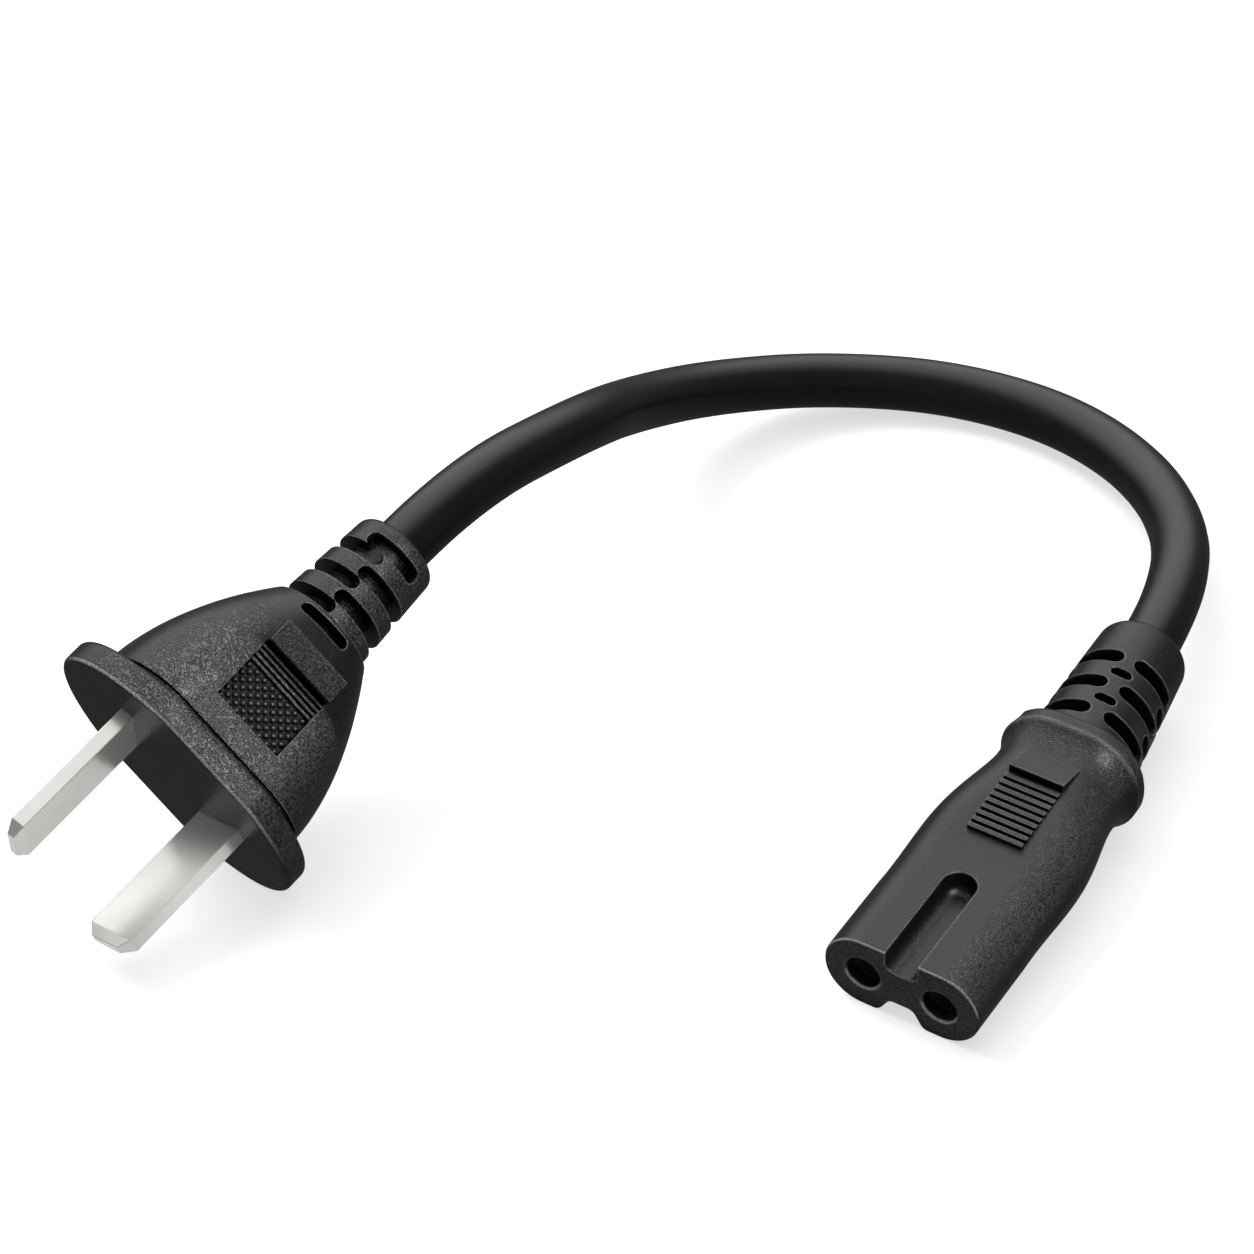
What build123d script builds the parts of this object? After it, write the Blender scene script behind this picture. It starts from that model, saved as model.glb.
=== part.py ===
from build123d import *
import os
from math import asin, cos, degrees, pi, radians, sin, tan

# Power cord: a two-blade mains plug and a figure-8 appliance connector on one round two-core cord.
# Lengths are millimetres and angles are degrees. The floor is at height 0 and +Z points up.
# Each moulding has its own plane: X runs across it, Y up through its top, Z out of its front face.

# Cord
cord_diameter = 6.4
core_diameter = 2.4
core_gap = 0.4
strand_diameter = 1.3
bare_strand = 0.5

# Plug flange and body
flange_width = 32.4
flange_height = 20.8
flange_flat_height = 19.4
flange_thickness = 3.0
flange_front_round = 0.5
flange_back_round = 0.8
neck_inset = 0.3
neck_length = 0.5
bell_width = 25.8
bell_height = 17.2
bell_back_width = 12.6
bell_back_height = 12.2
bell_length = 18.2
bell_roundness = 1.85
bell_sections = 6
bell_front_corner = 0.82
bell_back_corner = 0.97

# Grip panel on top of the plug body
grip_width = 8.8
grip_setback = 3.4
grip_knurl_length = 5.2
grip_sink = 0.7
grip_tilt = 5.5
grip_rib_count = 5
grip_rib_pitch = 0.62
grip_rib_thickness = 0.3
grip_rib_height = 0.45
grip_bar_length = 2.4
grip_bar_rise = 1.25
grip_bar_root = 2.3

# Blades
blade_spacing = 13.7
blade_lean = 30.0
blade_width = 6.35
blade_thickness = 1.6
blade_reach = 17.0
blade_tip_length = 1.2
blade_tip_width = 4.0
blade_tip_thickness = 0.8
blade_tail = 9.5
crimp_diameter = 3.2
crimp_length = 4.0
crimp_hole_depth = 3.4

# Bridge that holds the blades at their spacing
bridge_margin = 9.3
bridge_height = 9.0
bridge_corner = 2.5
bridge_front = 1.8
bridge_length = 6.0

# Cores inside the plug
plug_sheath_inset = 0.2
plug_core_lead = 1.3
plug_core_tail = 1.8
plug_core_bend = 2.6
core_bend_share = 0.9

# Plug strain relief
plug_relief_length = 12.8
plug_relief_root_diameter = 12.3
plug_relief_end_diameter = 9.6
plug_relief_end_round = 1.1
relief_skin = 0.3
slot_reach = 9.0
plug_slot_width = 1.75
plug_slot_pitch = 3.75
plug_slot_rows = 3
plug_left_row = 0.9
plug_left_slot = (113.0, 262.0)
plug_right_row = 2.6
plug_right_slot = (-82.0, 107.0)
plug_last_right_slot = (66.0, 130.0)
neck_slot_row = -1.2
neck_slot_width = 1.3
neck_slot = (77.0, 121.0)
neck_slot_floor = 4.4

# Connector nose
hole_spacing = 8.6
entry_diameter = 3.8
entry_lip = 0.2
nose_height = 8.7
nose_round = 0.3
nose_length = 14.0
nose_blend = 4.0
groove_width = 3.7
groove_depth = 2.4
groove_length = 13.4
groove_corner = 1.1
notch_depth = 2.0
notch_width = 2.6
notch_mouth_width = 5.0
notch_corner = 1.0

# Connector body behind the nose, one stretch after the other
waist_length = 6.0
waist_width = 17.6
waist_height = 9.4
shoulder_length = 7.0
shoulder_width = 15.8
shoulder_height = 10.4
scoop_length = 5.6
scoop_width = 14.3
scoop_height = 10.9
flare_length = 2.4
collar_width = 16.0
collar_height = 13.0
collar_length = 2.0
body_corner = 0.97
collar_back_round = 0.9

# Rib pad on top of the connector
pad_width = 6.2
pad_setback = 4.7
pad_rib_count = 9
pad_rib_pitch = 0.95
pad_rib_thickness = 0.55
pad_front_rise = 0.45
pad_back_rise = 0.35
pad_rib_root = 1.2
pad_bar_gap = 0.2
pad_bar_length = 3.6
pad_bar_rise = 0.95
pad_bar_back_rise = 0.1
pad_bar_root = 1.6

# Contacts and the carrier inside the connector
contact_bore = 2.4
contact_front = 3.2
contact_end = 14.0
contact_bottom = 12.8
contact_slit = 0.5
contact_crimp_diameter = 2.8
contact_crimp_end = 18.5
contact_crimp_hole = 3.0
carrier_front = 1.6
carrier_length = 14.4
carrier_lobe_diameter = 5.6
carrier_web_height = 2.0

# Connector strain relief, on an axis that bends to one side behind the collar
relief_bend = 5.0
relief_overlap = 1.5
relief_root_diameter = 12.4
relief_end_diameter = 9.9
relief_length = 18.0
relief_end_round = 1.3
relief_slot_width = 1.95
relief_first_row = 1.9
relief_row_pitch = 4.5
relief_rows = 3
relief_pattern_turn = -10.0
relief_slot_start = 17.0
relief_slot_end = 71.0
relief_side_half_angle = 20.0
relief_spine_half_angle = 6.0
relief_hole_diameter = 1.2
connector_sheath_end = 6.5
connector_core_lead = 2.5
connector_core_tail = 3.0
connector_core_bend = 3.5

# Where the two mouldings lie
plug_origin = (-44.416, -1.099, 13.13)
plug_yaw = -40.6
plug_pitch = 15.0
plug_roll = 46.0
connector_origin_x = 27.724
connector_origin_y = -22.499
connector_yaw = -32.6

# The cord's route between the two reliefs, chosen by hand
bend_share = 0.45
largest_bend = 40.0
plug_lead = 12.8
connector_lead = 14.1
cord_points = [
    (-4.49, 44.74, 22.69),
    (4.20, 70.14, 6.9),
    (26.49, 81.08, 3.25),
    (50.76, 73.85, 3.25),
    (62.85, 53.21, 7.01),
]

os.makedirs("parts", exist_ok=True)


def moulding_plane(origin, yaw, pitch, roll):
    """The plane of a moulding's front face: X across, Y up through its top, Z out of the face."""

    def turned(direction):
        return direction.rotate(Axis.Y, roll).rotate(Axis.X, pitch).rotate(Axis.Z, yaw)

    return Plane(origin, x_dir=turned(Vector(1, 0, 0)), z_dir=turned(Vector(0, -1, 0)))


def finish(piece, name):
    """Name a finished piece and write its file."""
    piece.part.label = name
    export_step(piece.part, f"parts/{name}.step")


def bend_radii(points, share, largest):
    """One radius for each corner of a route: as large as its two runs and the limit allow."""
    radii = []
    for before, corner, after in zip(points, points[1:], points[2:]):
        run_in = corner - before
        run_out = after - corner
        turn = radians(run_in.get_angle(run_out))
        fitting = share * min(run_in.length, run_out.length) / tan(turn / 2)
        radii.append(min(largest, fitting))
    return radii


def cut_slot(axis_plane, depth, start, end, floor_radius, width):
    """Cut one round-ended slot into a relief, from its skin down to floor_radius."""
    level = axis_plane.offset(-depth)
    with BuildSketch(level) as opening:
        with BuildLine():
            inner = CenterArc((0, 0), floor_radius, start, end - start)
            outer = CenterArc((0, 0), slot_reach, start, end - start)
            Line(inner @ 0, outer @ 0)
            Line(inner @ 1, outer @ 1)
        make_face()
    extrude(opening.sketch, amount=width / 2, both=True, mode=Mode.SUBTRACT)
    for angle in (start, end):
        cut_hole(axis_plane, depth, angle, floor_radius, width)


def cut_hole(axis_plane, depth, angle, floor_radius, diameter):
    """Drill one round hole into a relief, square to its axis, down to floor_radius."""
    level = axis_plane.offset(-depth)
    foot = level.from_local_coords(Vector(floor_radius, 0, 0).rotate(Axis.Z, angle))
    with BuildSketch(Plane(foot, z_dir=foot - level.origin)) as mouth:
        Circle(diameter / 2)
    extrude(mouth.sketch, amount=slot_reach - floor_radius, mode=Mode.SUBTRACT)


def add_relief(axis_plane, front, back, root_diameter, end_diameter, end_round):
    """Add a relief's cone about the Z axis of its plane, from depth front to depth back."""
    side = Plane(axis_plane.origin, x_dir=axis_plane.x_dir, z_dir=axis_plane.y_dir * -1)
    root = root_diameter / 2
    tip = end_diameter / 2
    with BuildSketch(side) as profile:
        with BuildLine():
            Polyline((0, -front), (root, -front), (tip, -back), (0, -back), close=True)
        make_face()
        fillet(vertices().group_by(Axis.Y)[0].sort_by(Axis.X)[-1], end_round)
    revolve(profile.sketch, axis=Axis(axis_plane.origin, axis_plane.z_dir))


def add_route_piece(points, bends, outer_diameter, inner_diameter=0.0):
    """Sweep a round rod or tube along straight runs joined by tangent arcs."""
    with BuildLine():
        route = FilletPolyline(*points, radius=bends)
    with BuildSketch(Plane(route @ 0, z_dir=route % 0)) as section:
        Circle(outer_diameter / 2)
        if inner_diameter:
            Circle(inner_diameter / 2, mode=Mode.SUBTRACT)
    sweep(section.sketch, path=route)
    return route.length


plug = moulding_plane(plug_origin, plug_yaw, plug_pitch, plug_roll)
bell_front = flange_thickness + neck_length
bell_back = bell_front + bell_length
plug_relief_end = bell_back + plug_relief_length
plug_sheath_end = bell_back - plug_sheath_inset

# Depths of the connector's stretches behind its front face
waist_depth = nose_length + waist_length
shoulder_depth = waist_depth + shoulder_length
scoop_depth = shoulder_depth + scoop_length
collar_depth = scoop_depth + flare_length
relief_pivot = collar_depth + collar_length

# The connector rests on the bottom of its nose and of its collar, which sets its pitch and height
connector_pitch = degrees(asin((collar_height - nose_height) / 2 / collar_depth))
connector_rise = nose_height / 2 * cos(radians(connector_pitch))
connector_origin = (connector_origin_x, connector_origin_y, connector_rise)
connector = moulding_plane(connector_origin, connector_yaw, connector_pitch, 0.0)

bend_side = Vector(sin(radians(relief_bend)), 0, cos(radians(relief_bend)))
pivot = connector.from_local_coords(Vector(0, 0, -relief_pivot))
relief_out = connector.from_local_coords(bend_side) - connector.origin
relief = Plane(pivot, x_dir=connector.y_dir.cross(relief_out), z_dir=relief_out)

# Cord: from one relief's end to the other's, with a straight stretch buried in each moulding
plug_exit = plug.from_local_coords(Vector(0, 0, -plug_relief_end))
plug_straight = plug.from_local_coords(Vector(0, 0, -plug_relief_end - plug_lead))
connector_exit = relief.from_local_coords(Vector(0, 0, -relief_length))
connector_straight = relief.from_local_coords(Vector(0, 0, -relief_length - connector_lead))
route_points = [plug_exit, plug_straight]
route_points += [Vector(*point) for point in cord_points]
route_points += [connector_straight, connector_exit]
route_radii = bend_radii(route_points, bend_share, largest_bend)

with BuildPart() as cord_sheath:
    cord_length = add_route_piece(route_points, route_radii, cord_diameter)
    swept_volume = cord_sheath.part.volume
    with BuildSketch(plug.offset(-plug_relief_end)):
        Circle(cord_diameter / 2)
    extrude(amount=plug_relief_end - plug_sheath_end)
    with BuildSketch(relief.offset(-relief_length)):
        Circle(cord_diameter / 2)
    extrude(amount=relief_length + connector_sheath_end)
finish(cord_sheath, "cord_sheath")

print("cord radii", [round(radius, 1) for radius in route_radii])
print("cord length", round(cord_length, 1))
print("cord volume ratio", round(swept_volume / (pi * cord_diameter**2 / 4 * cord_length), 4))
print("route", [tuple(round(value, 2) for value in point) for point in route_points])

# Plug blades, each with its crimp barrel
blade_x = blade_spacing / 2
crimp_end = blade_tail + crimp_length
plug_blades = []
for side, name in ((-1, "left"), (1, "right")):
    with BuildPart() as blade:
        lean = -side * blade_lean
        with BuildSketch(plug.offset(-blade_tail)):
            with Locations((side * blade_x, 0)):
                Rectangle(blade_thickness, blade_width, rotation=lean)
        extrude(amount=blade_tail + blade_reach - blade_tip_length)
        with BuildSketch(plug.offset(blade_reach - blade_tip_length)):
            with Locations((side * blade_x, 0)):
                Rectangle(blade_thickness, blade_width, rotation=lean)
        with BuildSketch(plug.offset(blade_reach)):
            with Locations((side * blade_x, 0)):
                Rectangle(blade_tip_thickness, blade_tip_width, rotation=lean)
        loft(ruled=True)
        with BuildSketch(plug.offset(-crimp_end)):
            with Locations((side * blade_x, 0)):
                Circle(crimp_diameter / 2)
        extrude(amount=crimp_length)
        with BuildSketch(plug.offset(-crimp_end)):
            with Locations((side * blade_x, 0)):
                Circle(strand_diameter / 2)
        extrude(amount=crimp_hole_depth, mode=Mode.SUBTRACT)
    finish(blade, f"plug_blade_{name}")
    plug_blades.append(blade)

# Plug bridge
with BuildPart() as plug_bridge:
    with BuildSketch(plug.offset(-bridge_front - bridge_length)):
        RectangleRounded(blade_spacing + bridge_margin, bridge_height, bridge_corner)
    extrude(amount=bridge_length)
    bridge_envelope = plug_bridge.part
    for blade in plug_blades:
        add(blade.part, mode=Mode.SUBTRACT)
finish(plug_bridge, "plug_bridge")

# Cores inside the plug: from the sheath's end to behind the crimps, with the strands run on inside
core_offset = (core_diameter + core_gap) / 2
core_end = crimp_end + bare_strand
strand_end = crimp_end - crimp_hole_depth
plug_inner = [plug_bridge, *plug_blades]
for side, name in ((-1, "brown"), (1, "blue")):
    for kind, end, outer, inner in (
        ("core", core_end, core_diameter, strand_diameter),
        ("strands", strand_end, strand_diameter, 0.0),
    ):
        core_points = [
            plug.from_local_coords(Vector(side * core_offset, 0, -plug_sheath_end)),
            plug.from_local_coords(Vector(side * core_offset, 0, -plug_sheath_end + plug_core_lead)),
            plug.from_local_coords(Vector(side * blade_x, 0, -core_end - plug_core_tail)),
            plug.from_local_coords(Vector(side * blade_x, 0, -end)),
        ]
        with BuildPart() as core:
            core_bends = bend_radii(core_points, core_bend_share, plug_core_bend)
            add_route_piece(core_points, core_bends, outer, inner)
        finish(core, f"plug_{kind}_{name}")
        plug_inner.append(core)

# Plug overmould
with BuildPart() as plug_shell:
    with BuildSketch(plug):
        Ellipse(flange_width / 2, flange_height / 2)
        Rectangle(flange_width, flange_flat_height, mode=Mode.INTERSECT)
    extrude(amount=-flange_thickness)
    along = Axis(plug.origin, plug.z_dir)
    flange_faces = faces().filter_by(GeomType.PLANE).sort_by(along)
    fillet(flange_faces[-1].edges(), flange_front_round)
    flange_faces = faces().filter_by(GeomType.PLANE).sort_by(along)
    fillet(flange_faces[0].edges(), flange_back_round)

    with BuildSketch(plug.offset(-flange_thickness)):
        neck_width = bell_width - 2 * neck_inset
        neck_height = bell_height - 2 * neck_inset
        RectangleRounded(neck_width, neck_height, neck_height / 2 * bell_front_corner)
    extrude(amount=-neck_length)

    for index in range(bell_sections):
        share = index / (bell_sections - 1)
        fall = share**bell_roundness
        width = bell_width + (bell_back_width - bell_width) * fall
        height = bell_height + (bell_back_height - bell_height) * fall
        corner = bell_front_corner + (bell_back_corner - bell_front_corner) * share
        with BuildSketch(plug.offset(-bell_front - bell_length * share)):
            RectangleRounded(width, height, height / 2 * corner)
    loft()

    add_relief(
        plug,
        bell_front + bell_length / 2,
        plug_relief_end,
        plug_relief_root_diameter,
        plug_relief_end_diameter,
        plug_relief_end_round,
    )

    # Grip panel: a sunken field, fine ribs behind it and a raised bar at the back
    grip_front = flange_thickness + grip_setback
    grip_foot = plug.from_local_coords(Vector(0, bell_height / 2 - grip_sink, -grip_front))
    tilt = radians(grip_tilt)
    grip_up = plug.from_local_coords(Vector(0, cos(tilt), -sin(tilt))) - plug.origin
    grip = Plane(grip_foot, x_dir=plug.x_dir, z_dir=grip_up)
    grip_rib_end = grip_knurl_length + grip_rib_count * grip_rib_pitch
    with BuildSketch(grip):
        with Locations((0, grip_rib_end / 2)):
            Rectangle(grip_width, grip_rib_end)
    extrude(amount=bell_height / 2, mode=Mode.SUBTRACT)
    with BuildSketch(grip):
        for index in range(grip_rib_count):
            with Locations((0, grip_knurl_length + (index + 0.5) * grip_rib_pitch)):
                Rectangle(grip_width, grip_rib_thickness)
    extrude(amount=grip_rib_height)
    with BuildSketch(grip.offset(grip_bar_rise - grip_bar_root)):
        with Locations((0, grip_rib_end + grip_bar_length / 2)):
            Rectangle(grip_width, grip_bar_length)
    extrude(amount=grip_bar_root)

    # Slots of the strain relief, left and right rows staggered by half a pitch
    relief_floor = cord_diameter / 2 + relief_skin
    for row in range(plug_slot_rows):
        step = bell_back + row * plug_slot_pitch
        last = row == plug_slot_rows - 1
        right_slot = plug_last_right_slot if last else plug_right_slot
        cut_slot(plug, plug_left_row + step, *plug_left_slot, relief_floor, plug_slot_width)
        cut_slot(plug, plug_right_row + step, *right_slot, relief_floor, plug_slot_width)
    cut_slot(plug, bell_back + neck_slot_row, *neck_slot, neck_slot_floor, neck_slot_width)

    add(bridge_envelope, mode=Mode.SUBTRACT)
    for piece in (*plug_inner, cord_sheath):
        add(piece.part, mode=Mode.SUBTRACT)
finish(plug_shell, "plug_shell")

# Contacts: split sleeves with a crimp barrel behind
hole_x = hole_spacing / 2
contacts = []
for side, name in ((-1, "left"), (1, "right")):
    with BuildPart() as contact:
        with BuildSketch(connector.offset(-contact_end)):
            with Locations((side * hole_x, 0)):
                Circle(entry_diameter / 2)
        extrude(amount=contact_end - contact_front)
        with BuildSketch(connector.offset(-contact_crimp_end)):
            with Locations((side * hole_x, 0)):
                Circle(contact_crimp_diameter / 2)
        extrude(amount=contact_crimp_end - contact_end)
        with BuildSketch(connector.offset(-contact_bottom)):
            with Locations((side * hole_x, 0)):
                Circle(contact_bore / 2)
        extrude(amount=contact_bottom, mode=Mode.SUBTRACT)
        with BuildSketch(connector.offset(-contact_bottom)):
            with Locations((side * hole_x, entry_diameter / 4)):
                Rectangle(contact_slit, entry_diameter / 2)
        extrude(amount=contact_bottom, mode=Mode.SUBTRACT)
        with BuildSketch(connector.offset(-contact_crimp_end)):
            with Locations((side * hole_x, 0)):
                Circle(strand_diameter / 2)
        extrude(amount=contact_crimp_hole, mode=Mode.SUBTRACT)
    finish(contact, f"contact_{name}")
    contacts.append(contact)

# Carrier: a small figure-8 block with a stepped hole for each contact
with BuildPart() as connector_carrier:
    with BuildSketch(connector.offset(-carrier_front - carrier_length)):
        with Locations((-hole_x, 0), (hole_x, 0)):
            Circle(carrier_lobe_diameter / 2)
        Rectangle(hole_spacing, carrier_web_height)
    extrude(amount=carrier_length)
    carrier_envelope = connector_carrier.part
    with BuildSketch(connector.offset(-contact_end)):
        with Locations((-hole_x, 0), (hole_x, 0)):
            Circle(entry_diameter / 2)
    extrude(amount=contact_end, mode=Mode.SUBTRACT)
    with BuildSketch(connector.offset(-contact_crimp_end)):
        with Locations((-hole_x, 0), (hole_x, 0)):
            Circle(contact_crimp_diameter / 2)
    extrude(amount=contact_crimp_end, mode=Mode.SUBTRACT)
finish(connector_carrier, "connector_carrier")

# Cores inside the connector
contact_core_end = contact_crimp_end + bare_strand
contact_strand_end = contact_crimp_end - contact_crimp_hole
connector_inner = [connector_carrier, *contacts]
for side, name in ((-1, "brown"), (1, "blue")):
    for kind, end, outer, inner in (
        ("core", contact_core_end, core_diameter, strand_diameter),
        ("strands", contact_strand_end, strand_diameter, 0.0),
    ):
        lead_end = connector_sheath_end + connector_core_lead
        core_points = [
            relief.from_local_coords(Vector(side * core_offset, 0, connector_sheath_end)),
            relief.from_local_coords(Vector(side * core_offset, 0, lead_end)),
            connector.from_local_coords(
                Vector(side * hole_x, 0, -contact_core_end - connector_core_tail)
            ),
            connector.from_local_coords(Vector(side * hole_x, 0, -end)),
        ]
        with BuildPart() as core:
            core_bends = bend_radii(core_points, core_bend_share, connector_core_bend)
            add_route_piece(core_points, core_bends, outer, inner)
        finish(core, f"connector_{kind}_{name}")
        connector_inner.append(core)

# Connector overmould
with BuildPart() as connector_shell:
    nose_width = hole_spacing + nose_height
    with BuildSketch(connector):
        RectangleRounded(nose_width, nose_height, nose_height / 2 * body_corner)
        with BuildLine():
            Polyline(
                (-notch_mouth_width / 2, -nose_height / 2),
                (-notch_width / 2, -nose_height / 2 + notch_depth),
                (notch_width / 2, -nose_height / 2 + notch_depth),
                (notch_mouth_width / 2, -nose_height / 2),
                close=True,
            )
        make_face(mode=Mode.SUBTRACT)
        inner_corners = vertices().filter_by_position(Axis.X, -hole_x, hole_x)
        fillet(inner_corners, notch_corner)
    extrude(amount=nose_blend - nose_length)
    along = Axis(connector.origin, connector.z_dir)
    fillet(faces().sort_by(along)[-1].edges(), nose_round)

    for depth, width, height in (
        (nose_length - nose_blend, nose_width, nose_height),
        (nose_length, nose_width, nose_height),
        (waist_depth, waist_width, waist_height),
        (shoulder_depth, shoulder_width, shoulder_height),
        (scoop_depth, scoop_width, scoop_height),
        (collar_depth, collar_width, collar_height),
    ):
        with BuildSketch(connector.offset(-depth)):
            RectangleRounded(width, height, height / 2 * body_corner)
    loft()

    with BuildSketch(connector.offset(-collar_depth)):
        RectangleRounded(collar_width, collar_height, collar_height / 2 * body_corner)
    extrude(amount=-collar_length)
    fillet(faces().sort_by(along)[0].edges(), collar_back_round)

    add_relief(
        relief,
        -relief_overlap,
        relief_length,
        relief_root_diameter,
        relief_end_diameter,
        relief_end_round,
    )

    # Groove on top of the nose, open at the front and round at its back
    groove_floor = nose_height / 2 - groove_depth
    lid = Plane(connector.origin, x_dir=connector.x_dir, z_dir=connector.y_dir)
    with BuildSketch(lid.offset(groove_floor)):
        with Locations((0, (groove_length - groove_width / 2) / 2)):
            Rectangle(groove_width, groove_length - groove_width / 2)
        with Locations((0, groove_length - groove_width / 2)):
            Circle(groove_width / 2)
    extrude(amount=nose_height, mode=Mode.SUBTRACT)
    upward = Axis(connector.origin, connector.y_dir)
    groove_sides = edges(Select.LAST).filter_by(along)
    fillet(groove_sides.group_by(upward)[0], groove_corner)

    # Rib pad and the bar behind it
    pad_front = nose_length + pad_setback
    pad_front_top = waist_height / 2 + pad_front_rise
    pad_back_top = shoulder_height / 2 + pad_back_rise
    pad_bar_front = pad_front + pad_rib_count * pad_rib_pitch + pad_bar_gap
    pad_bar_top = shoulder_height / 2 + pad_bar_rise
    for index in range(pad_rib_count):
        depth = pad_front + index * pad_rib_pitch
        rib_top = pad_front_top + (pad_back_top - pad_front_top) * index / (pad_rib_count - 1)
        with BuildSketch(lid.offset(rib_top - pad_rib_root)):
            with Locations((0, depth + pad_rib_thickness / 2)):
                Rectangle(pad_width, pad_rib_thickness)
        extrude(amount=pad_rib_root)
    pad_bar_back = pad_bar_front + pad_bar_length
    pad_bar_back_top = shoulder_height / 2 + pad_bar_back_rise
    pad_bar_foot = pad_bar_top - pad_bar_root
    with BuildSketch(Plane(connector.origin, x_dir=connector.z_dir * -1, z_dir=connector.x_dir)):
        with BuildLine():
            Polyline(
                (pad_bar_front, pad_bar_foot),
                (pad_bar_front, pad_bar_top),
                (pad_bar_back, pad_bar_back_top),
                (pad_bar_back, pad_bar_foot),
                close=True,
            )
        make_face()
    extrude(amount=pad_width / 2, both=True)

    # Slots of the strain relief: four to a row, with short ones between the rows on each side
    for row in range(relief_rows):
        depth = relief_first_row + row * relief_row_pitch
        spine = 90 + relief_pattern_turn
        for start in (0, 180):
            for sign in (-1, 1):
                ends = sorted(
                    (spine + start + sign * relief_slot_start, spine + start + sign * relief_slot_end)
                )
                cut_slot(relief, depth, *ends, relief_floor, relief_slot_width)
        between = depth - relief_row_pitch / 2
        for side_angle in (spine - 90, spine + 90):
            cut_slot(
                relief,
                between,
                side_angle - relief_side_half_angle,
                side_angle + relief_side_half_angle,
                relief_floor,
                relief_slot_width,
            )
    for row in range(relief_rows - 1):
        between = relief_first_row + (row + 0.5) * relief_row_pitch
        for spine_angle in (spine, spine + 180):
            cut_slot(
                relief,
                between,
                spine_angle - relief_spine_half_angle,
                spine_angle + relief_spine_half_angle,
                relief_floor,
                relief_hole_diameter,
            )

    # Entry holes, and room for everything the moulding holds
    with BuildSketch(connector):
        with Locations((-hole_x, 0), (hole_x, 0)):
            Circle(entry_diameter / 2)
    extrude(amount=-contact_front, mode=Mode.SUBTRACT)
    lips = edges(Select.LAST).filter_by(GeomType.CIRCLE).group_by(along)[-1]
    chamfer(lips, entry_lip)
    add(carrier_envelope, mode=Mode.SUBTRACT)
    for piece in (*connector_inner, cord_sheath):
        add(piece.part, mode=Mode.SUBTRACT)
finish(connector_shell, "connector_shell")

rigid = Compound(children=[plug_shell.part, connector_shell.part, *(blade.part for blade in plug_blades)])
box = rigid.bounding_box()
print("box without the cord", [round(value, 3) for value in (*box.min, *box.max)])
print("lowest of plug", round(plug_shell.part.bounding_box().min.Z, 3))
print("lowest of connector", round(connector_shell.part.bounding_box().min.Z, 3))
print("connector face", [round(value, 3) for value in (*connector.origin, *connector.z_dir)])
for side in (-1, 1):
    contact_point = connector.from_local_coords(Vector(side * hole_x, 0, -contact_bottom + contact_bore))
    print("contact bore", [round(value, 3) for value in contact_point])
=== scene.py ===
from math import cos, pi, radians, sin

import bmesh
import bpy
from mathutils import Matrix, Vector


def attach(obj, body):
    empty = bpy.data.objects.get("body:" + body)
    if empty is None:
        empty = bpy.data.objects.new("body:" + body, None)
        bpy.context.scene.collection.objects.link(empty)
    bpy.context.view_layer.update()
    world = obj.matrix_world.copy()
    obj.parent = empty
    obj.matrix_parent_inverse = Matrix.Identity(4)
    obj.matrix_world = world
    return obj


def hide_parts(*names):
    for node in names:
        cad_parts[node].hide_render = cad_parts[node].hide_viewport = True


bl_info = {
    "name": "Moulded power cord",
    "version": (1, 0, 0),
    "blender": (4, 5, 0),
    "location": "View3D > Sidebar > Power Cord",
    "description": "Cord, grip, finishes and studio for a power cord with two moulded ends",
    "category": "Object",
}

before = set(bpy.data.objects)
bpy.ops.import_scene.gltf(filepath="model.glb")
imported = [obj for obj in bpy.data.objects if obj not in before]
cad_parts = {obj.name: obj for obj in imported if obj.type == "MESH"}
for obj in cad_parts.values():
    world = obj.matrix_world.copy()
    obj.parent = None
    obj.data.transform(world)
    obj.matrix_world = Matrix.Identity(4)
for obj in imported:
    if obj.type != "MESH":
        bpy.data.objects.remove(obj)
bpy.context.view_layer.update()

MM = 0.001
BODY = "root"
PICTURE_SIDE = 1254
ACROSS, UP, FORWARD = range(3)

# Where the two mouldings lie: X across, Y up through the top, Z out of the front face
PLUG_ORIGIN = Vector((-44.416, -1.099, 13.13)) * MM
PLUG_TURN = (-40.6, 15.0, 46.0)
CONNECTOR_ORIGIN = Vector((27.724, -22.499, 4.342)) * MM
CONNECTOR_TURN = (-32.6, 3.522, 0.0)

# The cord's route, from the plug's strain relief to the connector's
CORD_DIAMETER = 6.4 * MM
CORD_ROUTE = (
    (-22.73, 24.2, 22.06),
    (-16.16, 31.86, 24.76),
    (-4.02, 47.83, 20.67),
    (1.68, 61.95, 12.71),
    (10.66, 72.57, 7.18),
    (24.35, 78.7, 3.95),
    (39.95, 78.0, 3.05),
    (53.46, 69.6, 3.85),
    (61.72, 54.7, 5.6),
    (61.88, 35.89, 8.5),
    (55.94, 24.54, 7.72),
)


def moulding_frame(origin, turn):
    """Matrix from a moulding's own axes to the shared frame."""
    yaw, pitch, roll = (radians(angle) for angle in turn)
    about_floor = Matrix.Rotation(yaw, 4, "Z") @ Matrix.Rotation(pitch, 4, "X")
    upright = Matrix.Rotation(radians(90), 4, "X")
    return Matrix.Translation(origin) @ about_floor @ Matrix.Rotation(roll, 4, "Y") @ upright


PLUG = moulding_frame(PLUG_ORIGIN, PLUG_TURN)
CONNECTOR = moulding_frame(CONNECTOR_ORIGIN, CONNECTOR_TURN)


def grip_panel(foot, tilt):
    """Matrix of the plug's sloping grip panel: X across, Y along it to the rear, Z out of it."""
    slope = radians(tilt)
    along = Vector((0, -sin(slope), -cos(slope)))
    out = Vector((0, cos(slope), -sin(slope)))
    turn = Matrix((Vector((-1, 0, 0)), along, out)).transposed()
    return PLUG @ Matrix.Translation(foot) @ turn.to_4x4()


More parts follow.
